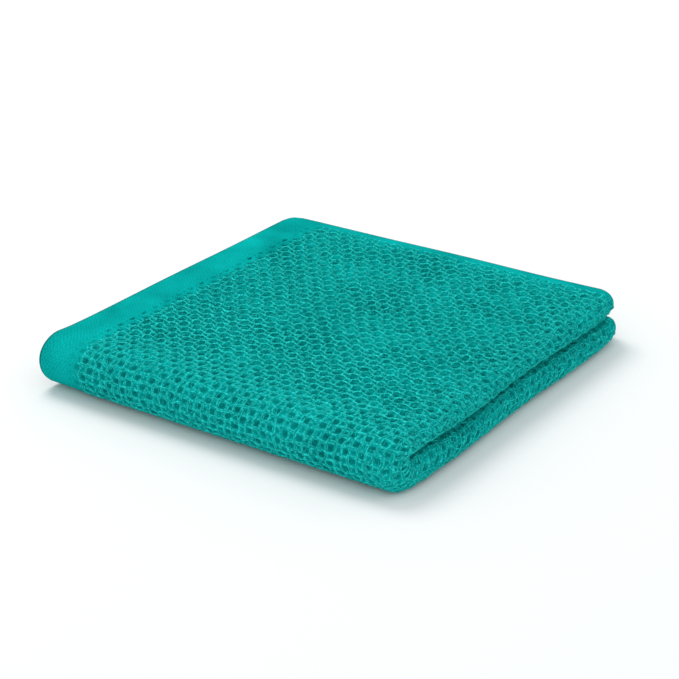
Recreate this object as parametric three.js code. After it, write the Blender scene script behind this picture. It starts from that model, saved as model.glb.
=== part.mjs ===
// A square cotton dishcloth in a thick honeycomb weave, folded in half and in half again.
// The first fold lies at +X and shows as two soft lips, one for each half of the second fold.
// The second fold is the big nested roll at -Y. The hemmed edges lie loose at -X and +Y.
// Millimetres, +Z up. The origin is the middle of the underside's outline.
import * as THREE from 'three';

// The flat cloth
const clothWidth = 300;
const clothDepth = 314;
const clothCorner = 7;
const bodyThickness = 3.6;
const hemThickness = 2.6;
const sideHem = 15;
const endHem = 9;
const edgeRound = 1.5;
const edgeBlunt = 0.55;

// The first fold: a round lip that closes to a pair of layers, the inner one a little short
const lipRadius = 3.4;
const lipSwell = 18;
const pairSpacing = 5.9;
const innerRecess = 3;
const lipEnd = { reach: 6.5, draw: 3.6, pinch: 0.25, fade: 4 };

// The second fold: the inner layer slips round the roll, sits back from it and is gathered
const foldedHeight = 21.4;
const rollReach = 13;
const rollSlip = 0.5;
const rollLooseness = 3.5;
const innerGather = 5;

// The roll is pulled in at the lips and flares out at the hem, within a reach of its front line
const rollEnds = { pull: 2.4, flare: 2.2, reach: 11 };
const upperHalf = { shift: 1.2, short: 0.6, wander: 0.3 };

// How far the upper half has settled below a level top, and how the layers and edges wave
const settle = { atLeft: 0.6, atBack: 0.5, atLooseCorner: 0.9 };
const ripple = { height: 0.3, alongX: 92, alongY: 118, startX: 0.15, startY: 0.35 };
const sway = { height: 1.2, alongX: 66, alongY: 81, startX: 0.1, startY: 0.2 };
const wander = { lips: 0.4, lipsEvery: 96, backEdge: 0.8, backEvery: 74, sideEdge: 0.7, sideEvery: 83 };

// Worked out from the sizes above
const middleHeight = foldedHeight / 2;
const rollRadius = middleHeight - bodyThickness / 2;
const lipArc = Math.PI * lipRadius;
const outerRun = (clothWidth - lipArc + innerRecess) / 2;
const halfDepth = clothDepth / 2;

// One row for each stretch of the cloth, from one edge to the other, with the steps it is built in
const acrossStretches = [
  { stretch: 'outer edge', length: edgeRound, steps: 2 },
  { stretch: 'outer hem band', length: sideHem - edgeRound, steps: 2 },
  { stretch: 'outer layer', length: outerRun - sideHem, steps: 9 },
  { stretch: 'lip', length: lipArc, steps: 8 },
  { stretch: 'opening behind the lip', length: lipSwell, steps: 4 },
  { stretch: 'inner layer', length: outerRun - innerRecess - lipSwell - sideHem, steps: 6 },
  { stretch: 'inner hem band', length: sideHem - edgeRound, steps: 2 },
  { stretch: 'inner edge', length: edgeRound, steps: 2 },
];
const alongStretches = [
  { stretch: 'lower edge', length: edgeRound, steps: 2 },
  { stretch: 'lower hem', length: endHem - edgeRound, steps: 3 },
  { stretch: 'lower half', length: halfDepth - endHem - rollReach, steps: 9 },
  { stretch: 'roll', length: 2 * rollReach, steps: 14 },
  { stretch: 'upper half', length: halfDepth - endHem - rollReach, steps: 9 },
  { stretch: 'upper hem', length: endHem - edgeRound, steps: 3 },
  { stretch: 'upper edge', length: edgeRound, steps: 2 },
];

// Distances from the first edge to each line of the grid
function stations(stretches) {
  const distances = [0];
  for (const { length, steps } of stretches) {
    const start = distances[distances.length - 1];
    for (let step = 1; step <= steps; step += 1) {
      distances.push(start + (length * step) / steps);
    }
  }
  return distances;
}

function ease(share) {
  const held = THREE.MathUtils.clamp(share, 0, 1);
  return held * held * (3 - 2 * held);
}

// The first fold: a point of the width becomes a place across and a drop below the outer layer
function firstFold(across) {
  if (across <= outerRun) {
    return { x: across - outerRun, drop: 0 };
  }
  if (across <= outerRun + lipArc) {
    const turn = (across - outerRun) / lipRadius;
    return { x: lipRadius * Math.sin(turn), drop: lipRadius * (1 - Math.cos(turn)) };
  }
  const behind = across - outerRun - lipArc;
  const closing = ease(behind / lipSwell);
  return { x: -behind, drop: THREE.MathUtils.lerp(2 * lipRadius, pairSpacing, closing) };
}

// The second fold: the pair of layers goes round the roll, the outer layer on the larger circle
function secondFold(along, drop) {
  const radius = rollRadius - drop;
  const pairRadius = rollRadius - pairSpacing / 2;
  const pathRadius = THREE.MathUtils.lerp(pairRadius, radius, rollSlip);
  const quarterTurn = (pathRadius * Math.PI) / 2;
  const outerShare = radius / rollRadius;
  const setBack = rollLooseness * (1 - outerShare);
  if (Math.abs(along) < quarterTurn) {
    const turn = along / pathRadius;
    return { y: setBack - radius * Math.cos(turn), rise: radius * Math.sin(turn), outerShare };
  }
  const straight = Math.abs(along) - quarterTurn;
  const gathered = straight - (innerGather * (1 - outerShare) * straight) / halfDepth;
  return { y: setBack + gathered, rise: Math.sign(along) * radius, outerShare };
}

function waveAt(x, y, { alongX, alongY, startX, startY }) {
  return Math.sin(2 * Math.PI * (x / alongX + startX)) * Math.sin(2 * Math.PI * (y / alongY + startY));
}

// The upper half settles towards its loose edges, the inner layers sway up and down between
// the outer ones, and no edge is quite straight
function settled(x, y, rise, outerShare, along) {
  const upper = ease(0.5 + along / (2 * rollReach));
  const toLeft = THREE.MathUtils.clamp(-x / outerRun, 0, 1);
  const toBack = THREE.MathUtils.clamp(y / halfDepth, 0, 1);
  const nearRoll = Math.exp(-((along / rollEnds.reach) ** 2)) * outerShare;
  const sag = settle.atLeft * toLeft + settle.atBack * toBack
    + settle.atLooseCorner * toLeft * toBack + ripple.height * waveAt(x, y, ripple) * toBack;
  const inner = (1 - Math.abs(rise) / rollRadius) * ease(y / lipSwell);
  const swayed = rise + sway.height * inner * waveAt(x, y, sway);
  const height = swayed > 0 ? swayed * (1 - sag / middleHeight) : swayed;
  const uneven = THREE.MathUtils.lerp(1, upperHalf.wander, upper);
  const lips = wander.lips * Math.sin((2 * Math.PI * y) / wander.lipsEvery) * (1 - toLeft);
  const side = wander.sideEdge * Math.sin((2 * Math.PI * y) / wander.sideEvery) * toLeft;
  const back = wander.backEdge * Math.sin((2 * Math.PI * x) / wander.backEvery) * toBack;
  const rollEnd = nearRoll * THREE.MathUtils.lerp(rollEnds.pull, rollEnds.flare, toLeft);
  return new THREE.Vector3(
    x + uneven * (lips + side) - rollEnd - upper * upperHalf.shift,
    y + uneven * back - upper * upperHalf.short * toBack,
    middleHeight + height,
  );
}

// At the back the lips are pinched flatter by the hem and drawn in to round ends
function withLipEnd({ x, drop }, along) {
  const nearEnd = THREE.MathUtils.clamp(1 - (halfDepth - Math.abs(along)) / lipEnd.reach, 0, 1);
  const toRight = THREE.MathUtils.clamp(1 + x / outerRun, 0, 1);
  const draw = lipEnd.draw * nearEnd ** 2 * toRight ** lipEnd.fade;
  return { x: x - draw, drop: drop * (1 - lipEnd.pinch * ease(nearEnd)) };
}

function middleOfSheet(across, along) {
  const { x, drop } = withLipEnd(firstFold(across), along);
  const { y, rise, outerShare } = secondFold(along, drop);
  return settled(x, y, rise, outerShare, along);
}

// Square corners of the flat cloth are drawn in to round ones, as a square is squeezed to a disc
function roundedCorner(across, along) {
  const fromSide = Math.min(across, clothWidth - across);
  const fromEnd = halfDepth - Math.abs(along);
  if (fromSide >= clothCorner || fromEnd >= clothCorner) {
    return { across, along };
  }
  const a = 1 - fromSide / clothCorner;
  const b = 1 - fromEnd / clothCorner;
  const newSide = clothCorner * (1 - a * Math.sqrt(1 - (b * b) / 2));
  const newEnd = clothCorner * (1 - b * Math.sqrt(1 - (a * a) / 2));
  return {
    across: across < clothWidth / 2 ? newSide : clothWidth - newSide,
    along: Math.sign(along) * (halfDepth - newEnd),
  };
}

// From 0 to 1 over one hem's width, halfway at the hem's inner line
function pastHem(fromEdge, hem) {
  return ease((fromEdge - hem / 2) / hem);
}

// Half the cloth's thickness: full in the weave, thinner in the hems, drawn in at the edge
function halfThickness(across, along) {
  const fromSide = Math.min(across, clothWidth - across);
  const fromEnd = halfDepth - Math.abs(along);
  const inBody = Math.min(pastHem(fromSide, sideHem), pastHem(fromEnd, endHem));
  const half = THREE.MathUtils.lerp(hemThickness, bodyThickness, inBody) / 2;
  const fromEdge = THREE.MathUtils.clamp(Math.min(fromSide, fromEnd) / edgeRound, 0, 1);
  return half * THREE.MathUtils.lerp(edgeBlunt, 1, Math.sqrt(1 - (1 - fromEdge) ** 2));
}

function foldedPoint(across, along, side) {
  const probe = 0.05;
  const place = roundedCorner(across, along);
  const here = middleOfSheet(place.across, place.along);
  const beside = middleOfSheet(place.across + probe, place.along)
    .sub(middleOfSheet(place.across - probe, place.along));
  const ahead = middleOfSheet(place.across, place.along + probe)
    .sub(middleOfSheet(place.across, place.along - probe));
  const outward = beside.cross(ahead).normalize();
  return here.addScaledVector(outward, side * halfThickness(across, along));
}

// A flat slab with the grid's steps is folded point by point
function foldedCloth() {
  const acrossLines = stations(acrossStretches);
  const alongLines = stations(alongStretches);
  const stepsAcross = acrossLines.length - 1;
  const stepsAlong = alongLines.length - 1;
  const geometry = new THREE.BoxGeometry(1, 1, 1, stepsAcross, stepsAlong, 2);
  const position = geometry.attributes.position;
  for (let index = 0; index < position.count; index += 1) {
    const across = acrossLines[Math.round((position.getX(index) + 0.5) * stepsAcross)];
    const along = alongLines[Math.round((position.getY(index) + 0.5) * stepsAlong)] - halfDepth;
    const point = foldedPoint(across, along, 2 * position.getZ(index));
    position.setXYZ(index, point.x, point.y, point.z);
  }
  geometry.computeBoundingBox();
  const middle = geometry.boundingBox.getCenter(new THREE.Vector3());
  geometry.translate(-middle.x, -middle.y, -geometry.boundingBox.min.z);
  geometry.computeVertexNormals();
  return geometry;
}

function tealCotton() {
  return new THREE.MeshStandardMaterial({ color: 0x12a89c, roughness: 0.95, metalness: 0 });
}

const group = new THREE.Group();
const cloth = new THREE.Mesh(foldedCloth(), tealCotton());
cloth.name = 'cloth';
group.add(cloth);

export default group;
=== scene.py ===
# A teal dishcloth in thick honeycomb cotton, folded into quarters, on a pale studio floor.
# The cloth is woven flat, in millimetres of the flat cloth, and then folded point by point.
import math
import bmesh
import bpy
import numpy as np
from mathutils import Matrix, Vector


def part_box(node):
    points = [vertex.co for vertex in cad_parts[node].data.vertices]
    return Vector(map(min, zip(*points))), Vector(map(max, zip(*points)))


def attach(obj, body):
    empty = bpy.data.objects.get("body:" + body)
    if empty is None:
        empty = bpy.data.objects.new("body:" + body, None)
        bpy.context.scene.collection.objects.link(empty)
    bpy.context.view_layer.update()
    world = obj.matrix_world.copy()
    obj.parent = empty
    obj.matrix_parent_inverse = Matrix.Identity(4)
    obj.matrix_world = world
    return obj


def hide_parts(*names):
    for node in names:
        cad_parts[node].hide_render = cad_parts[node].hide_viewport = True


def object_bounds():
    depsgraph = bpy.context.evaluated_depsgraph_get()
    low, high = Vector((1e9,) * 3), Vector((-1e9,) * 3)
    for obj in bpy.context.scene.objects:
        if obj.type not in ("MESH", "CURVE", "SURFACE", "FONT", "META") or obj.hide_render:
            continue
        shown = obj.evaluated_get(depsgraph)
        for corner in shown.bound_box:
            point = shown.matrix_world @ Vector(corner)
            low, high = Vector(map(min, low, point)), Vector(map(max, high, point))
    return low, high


mm = 0.001

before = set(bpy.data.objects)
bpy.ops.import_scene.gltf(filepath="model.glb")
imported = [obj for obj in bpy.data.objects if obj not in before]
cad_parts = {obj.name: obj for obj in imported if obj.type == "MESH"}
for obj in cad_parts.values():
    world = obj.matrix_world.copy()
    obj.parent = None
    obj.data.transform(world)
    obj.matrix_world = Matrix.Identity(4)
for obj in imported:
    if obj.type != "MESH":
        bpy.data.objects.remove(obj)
cadBox = [list(corner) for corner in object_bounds()]
print("frame loaded:", list(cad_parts))

# The flat cloth, in millimetres
cloth = {
    "width": 300.0,
    "depth": 314.0,
    "corner": 7.0,
    "bodyThickness": 3.6,
    "hemThickness": 2.6,
    "sideHem": 15.0,
    "endHem": 9.0,
    "edgeRound": 1.5,
    "edgeBlunt": 0.55,
}

# How the cloth is folded, as its solid is
fold = {
    "lipRadius": 3.4,
    "lipSwell": 18.0,
    "pairSpacing": 5.9,
    "innerRecess": 3.0,
    "lipEndReach": 6.5,
    "lipEndDraw": 3.6,
    "lipEndPinch": 0.25,
    "lipEndFade": 4,
    "height": 21.4,
    "rollReach": 13.0,
    "rollSlip": 0.5,
    "rollLooseness": 3.5,
    "innerGather": 5.0,
    "rollPull": 2.4,
    "hemFlare": 2.2,
    "pullReach": 11.0,
    "upperShift": 1.2,
    "upperShort": 0.6,
    "upperWander": 0.3,
    "settleLeft": 0.6,
    "settleBack": 0.5,
    "settleLooseCorner": 0.9,
    "lipsWander": 0.4,
    "lipsEvery": 96.0,
    "backWander": 0.8,
    "backEvery": 74.0,
    "sideWander": 0.7,
    "sideEvery": 83.0,
}
ripple = {"height": 0.3, "alongX": 92.0, "alongY": 118.0, "startX": 0.15, "startY": 0.35}
sway = {"height": 1.2, "alongX": 66.0, "alongY": 81.0, "startX": 0.1, "startY": 0.2}

halfDepth = cloth["depth"] / 2
middleHeight = fold["height"] / 2
rollRadius = middleHeight - cloth["bodyThickness"] / 2
lipArc = math.pi * fold["lipRadius"]
outerRun = (cloth["width"] - lipArc + fold["innerRecess"]) / 2


def ease(share):
    held = np.clip(share, 0, 1)
    return held * held * (3 - 2 * held)


def lerp(start, end, share):
    return start + (end - start) * share


# The first fold: a point of the width becomes a place across and a drop below the outer layer
def firstFold(across):
    turn = np.clip((across - outerRun) / fold["lipRadius"], 0, math.pi)
    behind = np.maximum(across - outerRun - lipArc, 0)
    closing = ease(behind / fold["lipSwell"])
    x = np.minimum(across - outerRun, 0) + fold["lipRadius"] * np.sin(turn) - behind
    drop = fold["lipRadius"] * (1 - np.cos(turn))
    return x, drop + closing * (fold["pairSpacing"] - 2 * fold["lipRadius"])


# At the back the lips are pinched flatter by the hem and drawn in to round ends
def withLipEnd(x, drop, along):
    nearEnd = np.clip(1 - (halfDepth - np.abs(along)) / fold["lipEndReach"], 0, 1)
    toRight = np.clip(1 + x / outerRun, 0, 1)
    draw = fold["lipEndDraw"] * nearEnd**2 * toRight ** fold["lipEndFade"]
    return x - draw, drop * (1 - fold["lipEndPinch"] * ease(nearEnd))


# The second fold: the pair of layers goes round the roll, the outer layer on the larger circle
def secondFold(along, drop):
    radius = rollRadius - drop
    pairRadius = rollRadius - fold["pairSpacing"] / 2
    pathRadius = lerp(pairRadius, radius, fold["rollSlip"])
    turn = np.clip(along / pathRadius, -math.pi / 2, math.pi / 2)
    straight = np.maximum(np.abs(along) - pathRadius * math.pi / 2, 0)
    outerShare = radius / rollRadius
    setBack = fold["rollLooseness"] * (1 - outerShare)
    gathered = straight * (1 - fold["innerGather"] * (1 - outerShare) / halfDepth)
    return setBack + gathered - radius * np.cos(turn), radius * np.sin(turn), outerShare


def waveAt(x, y, wave):
    acrossWave = np.sin(2 * math.pi * (x / wave["alongX"] + wave["startX"]))
    return acrossWave * np.sin(2 * math.pi * (y / wave["alongY"] + wave["startY"]))


# The upper half settles towards its loose edges, the inner layers sway, and no edge is straight
def settled(x, y, rise, outerShare, along):
    upper = ease(0.5 + along / (2 * fold["rollReach"]))
    toLeft = np.clip(-x / outerRun, 0, 1)
    toBack = np.clip(y / halfDepth, 0, 1)
    nearRoll = np.exp(-((along / fold["pullReach"]) ** 2)) * outerShare
    sag = fold["settleLeft"] * toLeft + fold["settleBack"] * toBack
    sag = sag + fold["settleLooseCorner"] * toLeft * toBack
    sag = sag + ripple["height"] * waveAt(x, y, ripple) * toBack
    inner = (1 - np.abs(rise) / rollRadius) * ease(y / fold["lipSwell"])
    swayed = rise + sway["height"] * inner * waveAt(x, y, sway)
    height = np.where(swayed > 0, swayed * (1 - sag / middleHeight), swayed)
    uneven = lerp(1, fold["upperWander"], upper)
    lips = fold["lipsWander"] * np.sin(2 * math.pi * y / fold["lipsEvery"]) * (1 - toLeft)
    side = fold["sideWander"] * np.sin(2 * math.pi * y / fold["sideEvery"]) * toLeft
    back = fold["backWander"] * np.sin(2 * math.pi * x / fold["backEvery"]) * toBack
    rollEnd = nearRoll * lerp(fold["rollPull"], fold["hemFlare"], toLeft)
    return np.stack([
        x + uneven * (lips + side) - rollEnd - upper * fold["upperShift"],
        y + uneven * back - upper * fold["upperShort"] * toBack,
        middleHeight + height,
    ], axis=-1)


def middleOfSheet(across, along):
    x, drop = withLipEnd(*firstFold(across), along)
    y, rise, outerShare = secondFold(along, drop)
    return settled(x, y, rise, outerShare, along)


# Square corners of the flat cloth are drawn in to round ones
def roundedCorner(across, along):
    fromSide = np.minimum(across, cloth["width"] - across)
    fromEnd = halfDepth - np.abs(along)
    a = np.clip(1 - fromSide / cloth["corner"], 0, 1)
    b = np.clip(1 - fromEnd / cloth["corner"], 0, 1)
    inCorner = (a > 0) & (b > 0)
    newSide = cloth["corner"] * (1 - a * np.sqrt(1 - b * b / 2))
    newEnd = cloth["corner"] * (1 - b * np.sqrt(1 - a * a / 2))
    newAcross = np.where(across < cloth["width"] / 2, newSide, cloth["width"] - newSide)
    newAlong = np.sign(along) * (halfDepth - newEnd)
    return np.where(inCorner, newAcross, across), np.where(inCorner, newAlong, along)


def pastHem(fromEdge, hem):
    return ease((fromEdge - hem / 2) / hem)


# Half the cloth's thickness: full in the weave, thinner in the hems, drawn in at the edge
def halfThickness(across, along):
    fromSide = np.minimum(across, cloth["width"] - across)
    fromEnd = halfDepth - np.abs(along)
    inBody = np.minimum(pastHem(fromSide, cloth["sideHem"]), pastHem(fromEnd, cloth["endHem"]))
    half = lerp(cloth["hemThickness"], cloth["bodyThickness"], inBody) / 2
    fromEdge = np.clip(np.minimum(fromSide, fromEnd) / cloth["edgeRound"], 0, 1)
    return half * lerp(cloth["edgeBlunt"], 1, np.sqrt(1 - (1 - fromEdge) ** 2))


def foldedPoints(across, along, offset):
    probe = 0.05
    across, along = roundedCorner(across, along)
    beside = middleOfSheet(across + probe, along) - middleOfSheet(across - probe, along)
    ahead = middleOfSheet(across, along + probe) - middleOfSheet(across, along - probe)
    outward = np.cross(beside, ahead)
    outward /= np.linalg.norm(outward, axis=1, keepdims=True)
    return middleOfSheet(across, along) + outward * offset[:, None]


# The honeycomb weave: one repeat holds two pits and two dimples. Of two values, here and for the
# yarn, the first is for the flats and the second for the folds
weave = {
    "repeatAcross": 6.1,
    "repeatAtRoll": 6.3,
    "repeatGrowth": 0.0125,  # longer by this for each millimetre away from the roll
    "rowsPerHalf": 44,
    "rollRows": 7,  # up to here the grid has a line for each half row
    "rowSpan": 3.4,  # a usual row, which the shapes of pits and dimples go by
    "stepsPerRow": 4,
    "foldRows": 4,
    "foldFade": 7,  # rows over which the roll's weave becomes the flats'
    "lipColumn": 41.5,
    "lipFade": 3.5,
    "lipDepth": 0.6,  # share of a pit's depth that is left round the lips
    # share of the pits' and dimples' painted shade that is left round the folds
    "foldShade": 0.5,
    "pitDepth": (1.9, 1.0),
    "pitRim": (1.95, 1.32),
    "pitFloor": (0.5, 0.1),
    "pitUneven": 0.35,
    "pitStray": 0.13,
    "pitSquareness": (2.9, 2.1),
    "pitTable": 401,
    "sizePick": (83, 29),
    "depthPick": (57, 131),
    "firstPits": 0.3,  # how much of a pit is there on the side hem's line
    "lastRow": 0.7,  # the pits are gone this many rows before the end hem
    "thinnest": 0.5,
    "dimpleDepth": (0.42, 0.12),
    "dimpleRadius": 0.8,
    "grooveDepth": (0.6, 0.1),
    "grooveRim": 0.45,
    "grooveFloor": 1.4,
    "ridgeDrop": 0.32,
    "drift": 0.4,
    "driftLength": 38.0,
    "jitter": 0.2,
    "jitterLength": 8.0,
    "waves": 7,
    "wavePitch": (0.7, 1.6),
    "wanderRounds": 4,
    "fadeIn": 9.0,
    "fadeAtEnd": 4.2,
    "seed": 11,
}


# A smooth uneven field between about -1 and 1, the same each run
def unevenness(across, along, length, seed):
    draw = np.random.default_rng(seed)
    total = np.zeros_like(across)
    for _ in range(weave["waves"]):
        heading = draw.uniform(0, 2 * math.pi)
        pitch = length * draw.uniform(*weave["wavePitch"])
        start = draw.uniform(0, 2 * math.pi)
        travel = across * math.cos(heading) + along * math.sin(heading)
        total += np.sin(2 * math.pi * travel / pitch + start)
    return total / math.sqrt(weave["waves"])


# The small wander of real cloth, one way across or along by its seed
def wanderAt(across, along, seed):
    drift = weave["drift"] * unevenness(across, along, weave["driftLength"], seed)
    return drift + weave["jitter"] * unevenness(across, along, weave["jitterLength"], seed + 2)


# The outer face is stretched round the folds, so its weave goes by the lengths of its surface
lipStretch = 1 + cloth["bodyThickness"] / 2 / fold["lipRadius"]
pathRadius = rollRadius - (1 - fold["rollSlip"]) * fold["pairSpacing"] / 2
rollStretch = (rollRadius + cloth["bodyThickness"] / 2) / pathRadius
quarterRoll = pathRadius * math.pi / 2


def surfaceWidth(across):
    return across + np.clip(across - outerRun, 0, lipArc) * (lipStretch - 1)


def acrossAt(width):
    return width - np.clip(width - outerRun, 0, lipArc * lipStretch) * (1 - 1 / lipStretch)


def surfaceLength(along):
    inRoll = np.minimum(np.abs(along), quarterRoll)
    return np.sign(along) * (np.abs(along) + inRoll * (rollStretch - 1))


def alongAt(length):
    inRoll = np.minimum(np.abs(length), quarterRoll * rollStretch)
    return np.sign(length) * (np.abs(length) - inRoll * (1 - 1 / rollStretch))


def rowAt(length):
    growth = weave["repeatGrowth"]
    rows = 2 / growth * np.log(1 + growth * np.abs(length) / weave["repeatAtRoll"])
    return np.sign(length) * rows


def lengthAt(row):
    growth = weave["repeatGrowth"]
    return np.sign(row) * weave["repeatAtRoll"] / growth * (np.exp(growth * np.abs(row) / 2) - 1)


# From 0 on the flats to 1 round the folds, where the weave is stretched open
def lipShare(column):
    return ease((column - weave["lipColumn"]) / weave["lipFade"])


def foldShare(column, row):
    rollShare = 1 - ease((np.abs(row) - weave["foldRows"]) / weave["foldFade"])
    return np.maximum(rollShare, lipShare(column))


# Where the cloth lies in the weave's lattice of columns and rows, and back again
def latticePlace(across, along):
    width, length = surfaceWidth(across), surfaceLength(along)
    column = (width - cloth["sideHem"] + wanderAt(width, length, weave["seed"])) * 2
    row = rowAt(length + wanderAt(width, length, weave["seed"] + 1))
    return column / weave["repeatAcross"], row


# A few rounds take the wander away again
def flatPlace(column, row):
    levelWidth = cloth["sideHem"] + column * weave["repeatAcross"] / 2
    levelLength = lengthAt(row)
    width, length = levelWidth, levelLength
    for _ in range(weave["wanderRounds"]):
        width, length = (
            levelWidth - wanderAt(width, length, weave["seed"]),
            levelLength - wanderAt(width, length, weave["seed"] + 1),
        )
    return acrossAt(width), alongAt(length)


# The distance in millimetres from the lattice's nearest pit, or its nearest dimple where odd is 1
def awayFrom(column, row, odd):
    diagonal = (column + row - odd) / 2
    counter = (column - row - odd) / 2
    restDiagonal = diagonal - np.round(diagonal)
    restCounter = counter - np.round(counter)
    awayAcross = (restDiagonal + restCounter) * weave["repeatAcross"] / 2
    awayAlong = (restDiagonal - restCounter) * weave["rowSpan"]
    power = 2 if odd else lerp(*weave["pitSquareness"], foldShare(column, row))
    away = (np.abs(awayAcross) ** power + np.abs(awayAlong) ** power) ** (1 / power)
    return away, np.round(diagonal), np.round(counter)


# Wefts wave between the rows of pits and warps between the columns, over and under each other
yarn = {
    "weft": {
        "radius": 0.175,
        "bed": (0.12, -0.02),
        "bow": (0.62, 0.2),
        "apart": (0.2, 0.4),
        "turn": 1,
        "seed": 102,
    },
    "warp": {
        "radius": 0.16,
        "bed": (-0.05, 0.08),
        "bow": (0.26, 0.26),
        "apart": (0.18, 0.36),
        "turn": -1,
        "seed": 114,
    },
    "cross": 0.13,
    "stray": (0.085, 0.15),
    "lipStray": 2.2,
    "sink": (0.055, 0.1),
    "plump": 0.22,
    "waves": (7.0, 2.9, 1.3),  # a thread's slow, middle and quick waves, in rows
    "waveSpread": (0.8, 1.3),
    "lineSeeds": 500,
    "stepsPerRow": 4,
    "fewestSteps": 3,
    "dive": 1.0,  # how deep a thread goes into the hems, and over what length
    "diveReach": 5.0,
    "endDiveReach": 2.4,
    "rollBottom": -16.0,  # where the stretches of threads meet, two along and one across
    "topSplit": 62.0,
    "lipFrom": 132.0,
    "belowRadius": 0.34,
}


# The distance in millimetres from the nearest weft, which waves between the rows of pits
def awayFromWeft(column, row):
    nearest = np.full_like(column, weave["rowSpan"])
    bow = lerp(*yarn["weft"]["bow"], foldShare(column, row)) / weave["rowSpan"]
    for step in (-1, 0, 1):
        line = np.round(row - 0.5) + step
        weft = line + 0.5 + bow * np.cos(math.pi * (column - line))
        nearest = np.minimum(nearest, np.abs(row - weft) * weave["rowSpan"])
    return nearest


# Each pit's own size and depth, from -1 to 1, picked from a table by its place in the lattice
pitTable = np.random.default_rng(weave["seed"]).uniform(-1, 1, weave["pitTable"])


def ownOf(diagonal, counter, pick):
    places = diagonal * pick[0] + counter * pick[1]
    return pitTable[places.astype(int) % len(pitTable)]


# How much of each pit is there: the last ones by the hems are shallower
def presentPits(diagonal, counter):
    fromHem = (diagonal + counter) * weave["repeatAcross"] / 2
    insideSide = fromHem / weave["fadeIn"] + weave["firstPits"]
    rowsInside = weave["rowsPerHalf"] - weave["lastRow"] - np.abs(diagonal - counter)
    insideEnd = rowsInside * weave["rowSpan"] / weave["fadeAtEnd"]
    return np.clip(np.minimum(insideSide, insideEnd), 0, 1)


# How far the weave lies below its ridges, and how much of its pits is there
def honeycomb(across, along):
    column, row = latticePlace(across, along)
    share = foldShare(column, row)
    toPit, diagonal, counter = awayFrom(column, row, 0)
    ownSize = 1 + weave["pitStray"] * ownOf(diagonal, counter, weave["sizePick"])
    rim = lerp(*weave["pitRim"], share) * ownSize
    pitFloor = lerp(*weave["pitFloor"], share)
    pit = 1 - ease((toPit - pitFloor) / (rim - pitFloor))
    present = presentPits(diagonal, counter)
    ownDepth = 1 + weave["pitUneven"] * ownOf(diagonal, counter, weave["depthPick"])
    deepest = lerp(*weave["pitDepth"], share) * lerp(1, weave["lipDepth"], lipShare(column))
    depth = deepest * ownDepth * pit * present
    fromSide, fromEnd = across - cloth["sideHem"], weaveEnd - np.abs(along)
    body = ease(np.minimum(fromSide / weave["fadeIn"], fromEnd / weave["fadeAtEnd"]))
    toDimple, _, _ = awayFrom(column, row, 1)
    dimple = np.exp(-((toDimple / weave["dimpleRadius"]) ** 2)) * body
    slope = weave["grooveFloor"] - weave["grooveRim"]
    groove = ease((awayFromWeft(column, row) - weave["grooveRim"]) / slope) * body
    grooved = lerp(*weave["grooveDepth"], share) * groove
    dimpled = lerp(*weave["dimpleDepth"], share) * dimple
    depth = depth + weave["ridgeDrop"] * body + (grooved + dimpled)
    return np.minimum(depth, 2 * halfThickness(across, along) - weave["thinnest"]), present


# Distances from the first edge to each line of the grid, from rows of length and steps
def stations(stretches):
    distances = [0.0]
    for length, steps in stretches:
        start = distances[-1]
        distances += [start + length * step / steps for step in range(1, steps + 1)]
    return distances


# The flat cloth's grid: whole repeats on the flats, quarter repeats round the lip, and the steps
# of the plain stretches
grid = {
    "repeatsAcross": 21,
    "lipQuarters": 21,
    "edgeSteps": 4,
    "outerHemSteps": 4,
    "innerSteps": 14,
    "innerHemSteps": 3,
    "endHemSteps": 3,
}
sideEdge = (cloth["edgeRound"], grid["edgeSteps"])
sideHemWidth = cloth["sideHem"] - cloth["edgeRound"]
weaveWidth = grid["repeatsAcross"] * weave["repeatAcross"]
lipPlaces = np.arange(1, grid["lipQuarters"] + 1) * weave["repeatAcross"] / 4
lipLines = acrossAt(cloth["sideHem"] + weaveWidth + lipPlaces)
bodyEnd = lipLines[-1]
plainEnd = halfDepth - alongAt(lengthAt(weave["rowsPerHalf"]))
weaveEnd = halfDepth - plainEnd
outerLines = stations([
    sideEdge,
    (sideHemWidth, grid["outerHemSteps"]),
    (weaveWidth, grid["repeatsAcross"]),
])
innerLines = stations([
    (cloth["width"] - bodyEnd - cloth["sideHem"], grid["innerSteps"]),
    (sideHemWidth, grid["innerHemSteps"]),
    sideEdge,
])
acrossLines = np.concatenate([outerLines, lipLines, bodyEnd + np.array(innerLines[1:])])
hemLines = stations([sideEdge, (plainEnd - cloth["edgeRound"], grid["endHemSteps"])])
flatRows = np.append(np.arange(weave["rollRows"], weave["rowsPerHalf"], 2), weave["rowsPerHalf"])
rollHalfRows = np.arange(0.5, weave["rollRows"], 0.5)
upperLines = np.concatenate([
    alongAt(lengthAt(rollHalfRows)),
    alongAt(lengthAt(flatRows)),
    halfDepth - np.array(hemLines[-2::-1]),
])
alongLines = np.concatenate([-upperLines[::-1], [0], upperLines])


# Cuts the chosen faces' edges that run in one direction into the weave's steps
def cutAcross(bm, inRegion, axis, latticeOf):
    byCuts = {}
    for edge in bm.edges:
        rows = abs(latticeOf(edge.verts[0].co[axis]) - latticeOf(edge.verts[1].co[axis]))
        cuts = round(rows * weave["stepsPerRow"]) - 1
        if cuts > 0 and any(inRegion(face) for face in edge.link_faces):
            byCuts.setdefault(cuts, []).append(edge)
    for cuts, edges in byCuts.items():
        bmesh.ops.subdivide_edges(bm, edges=edges, cuts=cuts, use_grid_fill=True)


def columnOf(across):
    return float(surfaceWidth(across) - cloth["sideHem"]) * 2 / weave["repeatAcross"]


def rowOf(along):
    return float(rowAt(surfaceLength(along)))


def inWeave(face):
    centre = face.calc_center_median()
    isUpper = centre.z > 0.5
    return isUpper and cloth["sideHem"] < centre.x < bodyEnd and abs(centre.y) < weaveEnd


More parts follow.
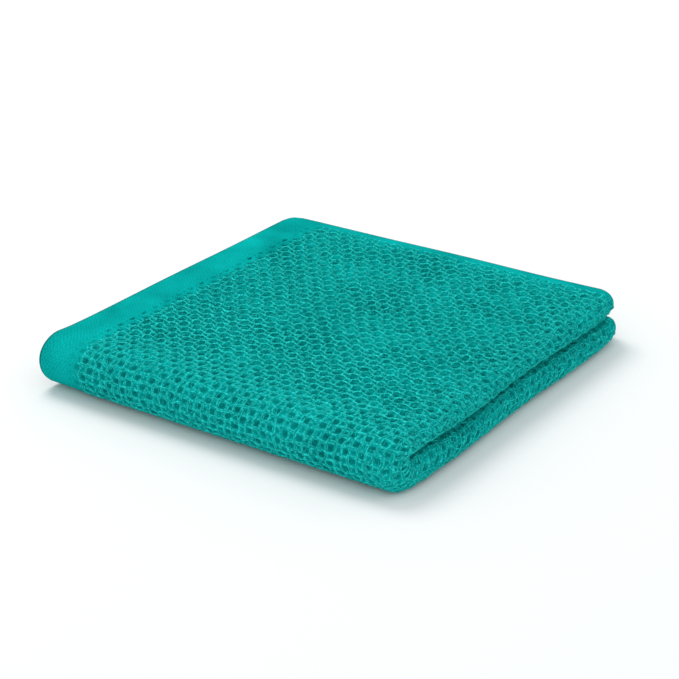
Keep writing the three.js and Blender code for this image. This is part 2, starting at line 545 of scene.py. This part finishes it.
# The flat cloth: x is the place across, y along from the second fold, z is +1 or -1 by its face
def flatCloth():
    bm = bmesh.new()
    columns, rows = len(acrossLines) - 1, len(alongLines) - 1
    bmesh.ops.create_grid(bm, x_segments=columns, y_segments=rows, size=0.5)
    for vert in bm.verts:
        across = acrossLines[round((vert.co.x + 0.5) * columns)]
        along = alongLines[round((vert.co.y + 0.5) * rows)]
        vert.co = (across, along, 1)
    under = bmesh.ops.extrude_face_region(bm, geom=bm.faces[:], use_keep_orig=True)
    for item in under["geom"]:
        if isinstance(item, bmesh.types.BMVert):
            item.co.z = -1
    # the walls round the rim come in any order, so all faces are put in one by their places
    inOrder = sorted(bm.faces, key=lambda face: face.calc_center_median()[:])
    ranks = {face: rank for rank, face in enumerate(inOrder)}
    bm.faces.sort(key=ranks.get)
    bmesh.ops.recalc_face_normals(bm, faces=bm.faces)
    cutAcross(bm, inWeave, 0, columnOf)
    cutAcross(bm, inWeave, 1, rowOf)
    return bm


def addPiece(name, mesh):
    piece = bpy.data.objects.new(name, mesh)
    bpy.context.collection.objects.link(piece)
    return piece


def triangleCount(mesh):
    return sum(len(face.vertices) - 2 for face in mesh.polygons)


def addUvMap(mesh, name, places):
    corners = np.empty(len(mesh.loops), dtype=np.int32)
    mesh.loops.foreach_get("vertex_index", corners)
    mesh.uv_layers.new(name=name).data.foreach_set("uv", places[corners].ravel())


def addMask(mesh, name, values):
    mesh.attributes.new(name, "FLOAT", "POINT").data.foreach_set("value", values)


# The weave is cut into the outer face only. The move that seats the cloth in its solid's box is
# handed on, because the yarns need it too
def makeCloth():
    bm = flatCloth()
    mesh = bpy.data.meshes.new("foldedCloth")
    bm.to_mesh(mesh)
    bm.free()
    flat = np.empty(len(mesh.vertices) * 3)
    mesh.vertices.foreach_get("co", flat)
    across, along, side = flat.reshape(-1, 3).T
    depth, present = honeycomb(across, along)
    outer = (side > 0) & (across < bodyEnd)
    fade = ease((bodyEnd - across) / weave["repeatAcross"]) * outer
    places = foldedPoints(across, along, side * halfThickness(across, along) - depth * fade)
    low, high = places.min(axis=0), places.max(axis=0)
    cadLow, cadHigh = (np.array(corner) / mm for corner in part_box("cloth"))
    shift = (cadLow + cadHigh - low - high) / 2
    shift[2] = cadLow[2] - low[2]
    mesh.vertices.foreach_set("co", ((places + shift) * mm).ravel())
    flatPlaces = np.stack([across / cloth["width"], along / cloth["depth"] + 0.5], axis=-1)
    addUvMap(mesh, "flatCloth", flatPlaces)
    column, row = latticePlace(across, along)
    diagonals = np.stack([(column + row) / 2, (column - row) / 2], axis=-1)
    addUvMap(mesh, "weaveDiagonals", diagonals)
    # how much painted shade the pits and dimples get: none outside the weave, less round the folds
    shown = present * fade * lerp(1, weave["foldShade"], foldShare(column, row))
    addMask(mesh, "woven", np.clip(shown, 0, 1))
    # the distance from the cloth's edge, for the painted shade along its edges
    fromSide = np.minimum(across, cloth["width"] - across)
    addMask(mesh, "fromEdge", np.minimum(fromSide, halfDepth - np.abs(along)))
    mesh.polygons.foreach_set("use_smooth", np.ones(len(mesh.polygons), dtype=bool))
    mesh.update()
    mesh.validate()
    print("cloth woven and folded:", triangleCount(mesh), "triangles")
    return addPiece("foldedDishcloth", mesh), shift


# Above 0 inside the weave, and 1 where the threads lie fully on it
def insideWeave(across, along):
    fromSides = np.minimum(across - cloth["sideHem"], bodyEnd - across) / yarn["diveReach"]
    return np.minimum(fromSides, (weaveEnd - np.abs(along)) / yarn["endDiveReach"])


# Slow, middle and quick waves of one thread along its track, different for each thread
def threadWaves(kind, line, side, track):
    seeds = [weave["seed"], yarn[kind]["seed"], line + yarn["lineSeeds"], side + 1]
    draw = np.random.default_rng(seeds)
    starts = draw.uniform(0, 2 * math.pi, 3)
    pitches = draw.uniform(*yarn["waveSpread"], 3) * yarn["waves"]
    return [np.sin(2 * math.pi * track / pitch + start) for pitch, start in zip(pitches, starts)]


# One thread's place on the flat cloth and its height, bowed away from the pits on both sides
def yarnTrack(kind, line, side, track):
    family = yarn[kind]
    isWeft = kind == "weft"
    span = weave["rowSpan"] if isWeft else weave["repeatAcross"] / 2
    slow, middle, quick = threadWaves(kind, line, side, track)
    level = np.full_like(track, line + 0.5)
    onColumn, onRow = (track, level) if isWeft else (level, track)
    share = foldShare(onColumn, onRow)
    bow = lerp(*family["bow"], share) * np.cos(math.pi * (track - line))
    apart = side * lerp(*family["apart"], share)
    loose = 1 + yarn["lipStray"] * lipShare(onColumn)
    stray = lerp(*yarn["stray"], share) * loose * (slow + middle)
    beside = level + (bow + apart + stray) / span
    column, row = (track, beside) if isWeft else (beside, track)
    across, along = flatPlace(column, row)
    over = family["turn"] * np.sin(math.pi * (track - line))
    depth, _ = honeycomb(across, along)
    dive = yarn["dive"] * (1 - ease(insideWeave(across, along)))
    bed = lerp(*family["bed"], share) + yarn["cross"] * over
    bed += lerp(*yarn["sink"], share) * (middle + quick)
    plump = 1 + yarn["plump"] * (middle + quick) / 2
    return across, along, halfThickness(across, along) - depth + bed - dive, plump


# A thread under the cloth is pressed up into it by the floor
def addThread(curve, places, plump):
    places[:, 2] = np.maximum(places[:, 2], curve.bevel_depth * plump)
    spline = curve.splines.new("POLY")
    spline.points.add(len(places) - 1)
    spline.points.foreach_set("co", np.hstack([places, np.ones((len(places), 1))]).ravel())
    spline.points.foreach_set("radius", plump)


# The parts of one thread that lie in the shown region
def addRuns(curve, across, along, offset, plump, shown, shift):
    changes = np.flatnonzero(np.diff(np.concatenate(([0], shown.astype(int), [0]))))
    if len(changes) == 0:
        return
    places = (foldedPoints(across, along, offset) + shift) * mm
    for first, last in zip(changes[::2], changes[1::2]):
        if last - first > yarn["fewestSteps"]:
            addThread(curve, places[first:last], plump[first:last])


def threadCurve(name, radius):
    curve = bpy.data.curves.new(name, "CURVE")
    curve.dimensions = "3D"
    curve.bevel_depth = radius * mm
    curve.bevel_resolution = 0
    curve.use_fill_caps = True
    return curve


# The curve's tubes become one mesh
def laidPiece(curve):
    holder = addPiece(curve.name, curve)
    solid = holder.evaluated_get(bpy.context.evaluated_depsgraph_get())
    mesh = bpy.data.meshes.new_from_object(solid)
    bpy.data.objects.remove(holder)
    print(curve.name, "laid:", triangleCount(mesh), "triangles")
    return addPiece(curve.name, mesh)


def within(places, ends):
    return (places >= ends[0]) & (places <= ends[1])


def makeYarns(name, kind, stretch, shift):
    sides = stretch["sides"]
    curve = threadCurve(name, yarn[kind]["radius"] if len(sides) > 1 else yarn["belowRadius"])
    columns = (0, math.ceil(columnOf(bodyEnd)))
    rows = (-weave["rowsPerHalf"], weave["rowsPerHalf"])
    ends, lines = (columns, rows) if kind == "weft" else (rows, columns)
    track = np.arange(*ends, 1 / yarn["stepsPerRow"])
    for line in range(*lines):
        for side in sides:
            across, along, offset, plump = yarnTrack(kind, line, side, track)
            shown = within(across, stretch["across"]) & within(along, stretch["along"])
            shown &= insideWeave(across, along) > 0
            addRuns(curve, across, along, offset, plump, shown, shift)
    return laidPiece(curve)


# Loose fibres of the cotton, short and thin, that lie over the ridges and the rims of the pits
fibre = {
    "regions": (
        {"count": 3200, "across": (15, 175), "along": (-16, 150)},
        {"count": 2800, "across": (140, 165), "along": (-150, 150)},
    ),
    "radius": 0.09,
    "length": (1.0, 2.6),
    "points": 4,
    "bend": 0.9,
    "lift": (0.02, 0.22),
    "sag": 0.55,
    "inside": 0.2,
    "seed": 29,
}


def makeFibres(shift):
    curve = threadCurve("looseFibres", fibre["radius"])
    draw = np.random.default_rng(fibre["seed"])
    share = np.linspace(-0.5, 0.5, fibre["points"])
    plump = np.ones(len(share))
    for region in fibre["regions"]:
        each = (region["count"], 1)
        heading = draw.uniform(0, math.pi, each) + draw.uniform(-1, 1, each) * fibre["bend"] * share
        length = draw.uniform(*fibre["length"], each) * share
        across = draw.uniform(*region["across"], each) + length * np.cos(heading)
        along = draw.uniform(*region["along"], each) + length * np.sin(heading)
        depth, _ = honeycomb(across, along)
        offset = halfThickness(across, along) - np.minimum(depth, fibre["sag"])
        offset += draw.uniform(*fibre["lift"], offset.shape)
        places = foldedPoints(across.ravel(), along.ravel(), offset.ravel())
        places = ((places + shift) * mm).reshape(*offset.shape, 3)
        for inside, line in zip(insideWeave(across, along).min(axis=1), places):
            if inside > fibre["inside"]:
                addThread(curve, line, plump)
    return laidPiece(curve)


# Shader helpers. A socket is fed by a value or by the output of another node
def addNode(tree, kind, place, **settings):
    node = tree.nodes.new(kind)
    node.location = place
    for name, value in settings.items():
        setattr(node, name, value)
    return node


def feed(tree, socket, value):
    if isinstance(value, bpy.types.NodeSocket):
        tree.links.new(value, socket)
    else:
        socket.default_value = value


def mathNode(tree, operation, place, *values):
    node = addNode(tree, "ShaderNodeMath", place, operation=operation)
    for socket, value in zip(node.inputs, values):
        feed(tree, socket, value)
    return node.outputs[0]


def vectorNode(tree, operation, place, *values):
    node = addNode(tree, "ShaderNodeVectorMath", place, operation=operation)
    for socket, value in zip(node.inputs, values):
        feed(tree, socket, value)
    return node.outputs["Value" if operation == "LENGTH" else "Vector"]


def noiseNode(tree, place, where, scale, detail, dimensions="2D"):
    node = addNode(tree, "ShaderNodeTexNoise", place, noise_dimensions=dimensions)
    for name, value in (("Vector", where), ("Scale", scale), ("Detail", detail)):
        feed(tree, node.inputs[name], value)
    return node


def rangeNode(tree, place, value, source, target=(0, 1), curve="LINEAR"):
    node = addNode(tree, "ShaderNodeMapRange", place, interpolation_type=curve)
    names = ("Value", "From Min", "From Max", "To Min", "To Max")
    for name, given in zip(names, (value, *source, *target)):
        feed(tree, node.inputs[name], given)
    return node.outputs[0]


def colourMix(tree, place, factor, first, second, blend="MIX"):
    node = addNode(tree, "ShaderNodeMix", place, data_type="RGBA", blend_type=blend)
    for name, value in (("Factor", factor), ("A", first), ("B", second)):
        feed(tree, node.inputs[name], value)
    return node.outputs["Result"]


def bumpNode(tree, place, height, bump):
    node = addNode(tree, "ShaderNodeBump", place)
    node.inputs["Strength"].default_value = bump["strength"]
    node.inputs["Distance"].default_value = bump["distance"]
    feed(tree, node.inputs["Height"], height)
    return node.outputs[0]


def newMaterial(name):
    material = bpy.data.materials.new(name)
    material.use_nodes = True
    return material, material.node_tree, material.node_tree.nodes["Principled BSDF"]


def newGroup(name, inputs, outputs):
    group = bpy.data.node_groups.new(name, "ShaderNodeTree")
    for socket, kind in inputs:
        group.interface.new_socket(socket, in_out="INPUT", socket_type=kind)
    for socket in outputs:
        group.interface.new_socket(socket, in_out="OUTPUT", socket_type="NodeSocketFloat")
    start = addNode(group, "NodeGroupInput", (-1200, 0))
    end = addNode(group, "NodeGroupOutput", (700, 0))
    return group, start.outputs, end.inputs


# The cloth's own colour and finish, and its painted shade, by millimetres of the flat cloth. Only
# the bump's distance is in metres
cotton = {
    "lit": (0.002, 0.345, 0.322, 1),
    # painted shade for the hollows of the weave, and a little of it under the yarns
    "hollowShade": (0.0, 0.09, 0.083, 1),
    "shadeUnderYarns": 0.02,
    "pit": {"centre": (0.5, 0.5, 0), "edge": 1.55, "core": 0.8},
    "dimple": {"centre": (0, 0, 0), "edge": 0.85, "core": 0.25},
    "threads": {"Thread Across": 0.76, "Thread Along": 0.72, "Fuzz": 1.3},
    "wobble": {"scale": 0.35, "detail": 2},
    "fuzz": {"scale": 1.9, "detail": 4, "roughness": 0.65},
    "patches": {"scale": 0.045, "detail": 3},
    "crossing": {"Height": 0.25, "Tone": 0.16},
    "tone": {"from": (0.4, 1.6), "to": (0.45, 1.55)},
    "paintedEdgeShade": {"from": (0.8, 1.4), "shade": (0.4, 1)},
    "roughness": 0.95,
    "bump": {"strength": 0.5, "distance": 0.00025},
}


# Twisted cotton in the flat cloth's plane: threads both ways, with fuzz
def cottonThreads():
    group, inputs, outputs = newGroup("cottonYarn", (
        ("Place", "NodeSocketVector"),
        ("Thread Across", "NodeSocketFloat"),
        ("Thread Along", "NodeSocketFloat"),
        ("Fuzz", "NodeSocketFloat"),
    ), ("Height", "Tone"))
    wobble, fuzz, crossing = cotton["wobble"], cotton["fuzz"], cotton["crossing"]
    wobbled = noiseNode(group, (-1000, -260), inputs["Place"], wobble["scale"], wobble["detail"])
    bent = vectorNode(group, "ADD", (-800, 0), inputs["Place"], wobbled.outputs["Color"])
    apart = addNode(group, "ShaderNodeSeparateXYZ", (-620, 0))
    feed(group, apart.inputs[0], bent)
    turns = []
    for axis, pitch, level in (("X", "Thread Across", 120), ("Y", "Thread Along", -120)):
        turn = mathNode(group, "DIVIDE", (-440, level), apart.outputs[axis], inputs[pitch])
        angle = mathNode(group, "MULTIPLY", (-280, level), turn, math.pi)
        turns.append(mathNode(group, "SINE", (-120, level), angle))
    crossed = mathNode(group, "MULTIPLY", (60, 40), *turns)
    fuzzy = noiseNode(group, (-440, -360), inputs["Place"], fuzz["scale"], fuzz["detail"])
    fuzzy.inputs["Roughness"].default_value = fuzz["roughness"]
    spread = mathNode(group, "SUBTRACT", (-120, -360), fuzzy.outputs["Fac"], 0.5)
    amount = mathNode(group, "MULTIPLY", (60, -300), spread, inputs["Fuzz"])
    for name, level in (("Height", 40), ("Tone", -240)):
        threads = mathNode(group, "MULTIPLY", (220, level), crossed, crossing[name])
        total = mathNode(group, "ADD", (380, level), threads, amount)
        feed(group, outputs[name], mathNode(group, "ADD", (540, level), total, 0.5))
    return group


# How far each place is inside a round hollow, one in each cell of the weave's diagonals
def roundHollow():
    group, inputs, outputs = newGroup("roundHollow", (
        ("Diagonals", "NodeSocketVector"),
        ("Centre", "NodeSocketVector"),
        ("Edge", "NodeSocketFloat"),
        ("Core", "NodeSocketFloat"),
    ), ("Hollow",))
    moved = vectorNode(group, "ADD", (-1000, 0), inputs["Diagonals"], inputs["Centre"])
    rest = vectorNode(group, "FRACTION", (-800, 0), moved)
    parts = addNode(group, "ShaderNodeSeparateXYZ", (-640, 0))
    feed(group, parts.inputs[0], rest)
    total = mathNode(group, "ADD", (-480, 100), parts.outputs["X"], parts.outputs["Y"])
    change = mathNode(group, "SUBTRACT", (-480, -100), parts.outputs["X"], parts.outputs["Y"])
    centred = mathNode(group, "SUBTRACT", (-320, 100), total, 1.0)
    across = mathNode(group, "MULTIPLY", (-160, 100), centred, weave["repeatAcross"] / 2)
    along = mathNode(group, "MULTIPLY", (-160, -100), change, weave["rowSpan"])
    place = addNode(group, "ShaderNodeCombineXYZ", (0, 0))
    feed(group, place.inputs["X"], across)
    feed(group, place.inputs["Y"], along)
    away = vectorNode(group, "LENGTH", (140, 0), place.outputs[0])
    ends = (inputs["Edge"], inputs["Core"])
    hollow = rangeNode(group, (300, 0), away, ends, curve="SMOOTHSTEP")
    feed(group, outputs["Hollow"], hollow)
    return group


def cottonMaterial():
    material, tree, shader = newMaterial("tealHoneycombCotton")
    uv = addNode(tree, "ShaderNodeUVMap", (-1000, 0), uv_map="flatCloth")
    place = addNode(tree, "ShaderNodeMapping", (-820, 0))
    place.inputs["Scale"].default_value = (cloth["width"], cloth["depth"], 1)
    feed(tree, place.inputs[0], uv.outputs[0])
    threads = addNode(tree, "ShaderNodeGroup", (-600, 0), node_tree=cottonThreads())
    feed(tree, threads.inputs["Place"], place.outputs[0])
    for name, value in cotton["threads"].items():
        threads.inputs[name].default_value = value
    # painted shade: darker in the pits and dimples, each a round hollow of the weave, and a little
    # darker under the yarns all through the weave
    diagonals = addNode(tree, "ShaderNodeUVMap", (-820, 300), uv_map="weaveDiagonals")
    woven = addNode(tree, "ShaderNodeAttribute", (-600, 700), attribute_name="woven")
    hollowTree = roundHollow()
    hollows = []
    for kind, level in (("pit", 300), ("dimple", 500)):
        hollow = addNode(tree, "ShaderNodeGroup", (-600, level), node_tree=hollowTree)
        for name, key in (("Centre", "centre"), ("Edge", "edge"), ("Core", "core")):
            hollow.inputs[name].default_value = cotton[kind][key]
        feed(tree, hollow.inputs["Diagonals"], diagonals.outputs[0])
        hollows.append(hollow.outputs["Hollow"])
    either = mathNode(tree, "MAXIMUM", (-420, 420), *hollows)
    under = mathNode(tree, "MULTIPLY", (-340, 420), either, 1 - cotton["shadeUnderYarns"])
    under = mathNode(tree, "ADD", (-280, 420), under, cotton["shadeUnderYarns"])
    hollowShadeShare = mathNode(tree, "MULTIPLY", (-240, 420), under, woven.outputs["Fac"])
    shade = colourMix(tree, (-200, 200), hollowShadeShare, cotton["lit"], cotton["hollowShade"])
    # uneven in its threads and in larger patches
    patches = cotton["patches"]
    patchy = noiseNode(tree, (-600, -300), place.outputs[0], patches["scale"], patches["detail"])
    toneSum = mathNode(tree, "ADD", (-400, -120), threads.outputs["Tone"], patchy.outputs["Fac"])
    tone = rangeNode(tree, (-200, -120), toneSum, cotton["tone"]["from"], cotton["tone"]["to"])
    colour = colourMix(tree, (0, 120), 1, shade, tone, "MULTIPLY")
    # painted shade: the cloth is darker within 1.4 mm of its edges, where the rounded hems turn
    # away from the light
    fromEdge = addNode(tree, "ShaderNodeAttribute", (0, 420), attribute_name="fromEdge")
    line = cotton["paintedEdgeShade"]
    edgeShade = rangeNode(tree, (180, 420), fromEdge.outputs["Fac"], line["from"], line["shade"])
    shaded = colourMix(tree, (360, 240), 1, colour, edgeShade, "MULTIPLY")
    feed(tree, shader.inputs["Base Color"], shaded)
    bumped = bumpNode(tree, (0, -200), threads.outputs["Height"], cotton["bump"])
    feed(tree, shader.inputs["Normal"], bumped)
    shader.inputs["Roughness"].default_value = cotton["roughness"]
    shader.inputs["Specular IOR Level"].default_value = 0
    return material


# The raised yarns' finish, with fuzz in the object's own place. Their colours are on the whole
# lighter than the cloth's own, a painted highlight on the ridges' crests
yarnFinishAndHighlight = {
    "dark": (0.002, 0.21, 0.194, 1),
    "light": (0.022, 0.84, 0.775, 1),
    "fuzz": {"scale": 1300, "detail": 3, "contrast": (0.3, 0.7)},
    "bump": {"strength": 0.4, "distance": 0.0001},
    "shader": {
        "Roughness": 0.95,
        "Sheen Weight": 0.05,
        "Sheen Roughness": 0.5,
        "Sheen Tint": (0.1, 0.95, 0.9, 1),
        "Specular IOR Level": 0.05,
    },
}


def yarnMaterial():
    material, tree, shader = newMaterial("tealYarn")
    where = addNode(tree, "ShaderNodeTexCoord", (-1000, 0)).outputs["Object"]
    fuzz = yarnFinishAndHighlight["fuzz"]
    fuzzy = noiseNode(tree, (-700, 100), where, fuzz["scale"], fuzz["detail"], "3D").outputs["Fac"]
    contrast = rangeNode(tree, (-500, 100), fuzzy, fuzz["contrast"])
    shade = colourMix(tree, (-300, 100), contrast, yarnFinishAndHighlight["dark"], yarnFinishAndHighlight["light"])
    feed(tree, shader.inputs["Base Color"], shade)
    bumped = bumpNode(tree, (-300, -200), fuzzy, yarnFinishAndHighlight["bump"])
    feed(tree, shader.inputs["Normal"], bumped)
    for name, value in yarnFinishAndHighlight["shader"].items():
        shader.inputs[name].default_value = value
    return material


floor = {
    "reach": 3.0,
    "segments": 96,
    "light": (0.86, 0.87, 0.87, 1),
    "dark": (0.8471, 0.85695, 0.85695, 1),
    "roughness": 0.85,
    "grain": {"scale": 6.0, "detail": 2},
}


def makeFloor():
    bm = bmesh.new()
    bmesh.ops.create_circle(bm, cap_ends=True, segments=floor["segments"], radius=floor["reach"])
    mesh = bpy.data.meshes.new("studioFloor")
    bm.to_mesh(mesh)
    bm.free()
    material, tree, shader = newMaterial("paleFloor")
    where = addNode(tree, "ShaderNodeTexCoord", (-700, 0)).outputs["Object"]
    grain = floor["grain"]
    grainy = noiseNode(tree, (-500, 0), where, grain["scale"], grain["detail"], "3D").outputs["Fac"]
    shades = colourMix(tree, (-250, 0), grainy, floor["light"], floor["dark"])
    feed(tree, shader.inputs["Base Color"], shades)
    shader.inputs["Roughness"].default_value = floor["roughness"]
    mesh.materials.append(material)
    piece = addPiece("studioFloor", mesh)


# Soft studio light: a wide key from behind on the left, a fill from the right, and pale air
studio = {
    "air": (0.96, 0.98, 1.0, 1),
    "airStrength": 0.91,
    "key": {"place": (-0.7, 0.3, 1.2), "size": 0.7, "power": 8, "colour": (1.0, 0.99, 0.97)},
    "fill": {"place": (0.45, -1.2, 0.2), "size": 0.8, "power": 1.1, "colour": (0.97, 0.99, 1.0)},
}


def makeLight(name, light, aim):
    data = bpy.data.lights.new(name, "AREA")
    data.shape = "DISK"
    data.size = light["size"]
    data.energy = light["power"]
    data.color = light["colour"]
    lamp = bpy.data.objects.new(name, data)
    lamp.location = light["place"]
    lamp.rotation_euler = (Vector(aim) - lamp.location).to_track_quat("-Z", "Y").to_euler()
    bpy.context.collection.objects.link(lamp)


def makeStudio(aim):
    world = bpy.data.worlds.new("studioAir")
    bpy.context.scene.world = world
    world.use_nodes = True
    air = world.node_tree.nodes["Background"]
    air.inputs["Color"].default_value = studio["air"]
    air.inputs["Strength"].default_value = studio["airStrength"]
    makeLight("keyLight", studio["key"], aim)
    makeLight("fillLight", studio["fill"], aim)
    bpy.context.scene.view_settings.view_transform = "Standard"


# The photo's direction and distance, with a longer lens so that the cloth fills the picture
photoView = {
    "azimuth": 34.35,
    "elevation": 24.44,
    "distance": 0.741,
    "lens": 106,
    "sensor": 36,
    "clip": (0.01, 20),
    "aimDrop": 0.001,
}


def makeCamera(aim):
    data = bpy.data.cameras.new("photoCamera")
    data.lens = photoView["lens"]
    data.sensor_width = photoView["sensor"]
    data.clip_start, data.clip_end = photoView["clip"]
    camera = bpy.data.objects.new("photoCamera", data)
    azimuth, elevation = (math.radians(photoView[key]) for key in ("azimuth", "elevation"))
    back = Vector((
        math.sin(azimuth) * math.cos(elevation),
        -math.cos(azimuth) * math.cos(elevation),
        math.sin(elevation),
    ))
    camera.location = Vector(aim) + back * photoView["distance"]
    camera.rotation_euler = (-back).to_track_quat("-Z", "Y").to_euler()
    bpy.context.collection.objects.link(camera)
    bpy.context.scene.camera = camera


# The stretches of the cloth that threads are laid on, and the threads of a line: a pair, or a pair
# with one between, or one thick thread underneath, where it hardly shows
stretches = {
    "Back": {"across": (0, bodyEnd), "along": (yarn["topSplit"], halfDepth), "sides": (-1, 1)},
    "Front": {
        "across": (0, bodyEnd),
        "along": (yarn["rollBottom"], yarn["topSplit"]),
        "sides": (-1, 0, 1),
    },
    "LowerLip": {
        "across": (yarn["lipFrom"], bodyEnd),
        "along": (-halfDepth, yarn["rollBottom"]),
        "sides": (-1, 1),
    },
    "Below": {
        "across": (0, yarn["lipFrom"]),
        "along": (-halfDepth, yarn["rollBottom"]),
        "sides": (0,),
    },
}

centre = [(low + high) / 2 for low, high in zip(*cadBox)]
makeCamera((centre[0], centre[1], centre[2] - photoView["aimDrop"]))
makeStudio(centre)
makeFloor()
print("studio, floor and camera made")

dishcloth, shift = makeCloth()
dishcloth.data.materials.append(cottonMaterial())
yarns = []
for place, stretch in stretches.items():
    for kind in ("weft", "warp"):
        yarns.append(makeYarns(kind + "Yarns" + place, kind, stretch, shift))
yarns.append(makeFibres(shift))
yarnCotton = yarnMaterial()
for piece in yarns:
    piece.data.materials.clear()
    piece.data.materials.append(yarnCotton)
    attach(piece, "root")
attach(dishcloth, "root")
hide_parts("cloth")
print("cloth dressed")
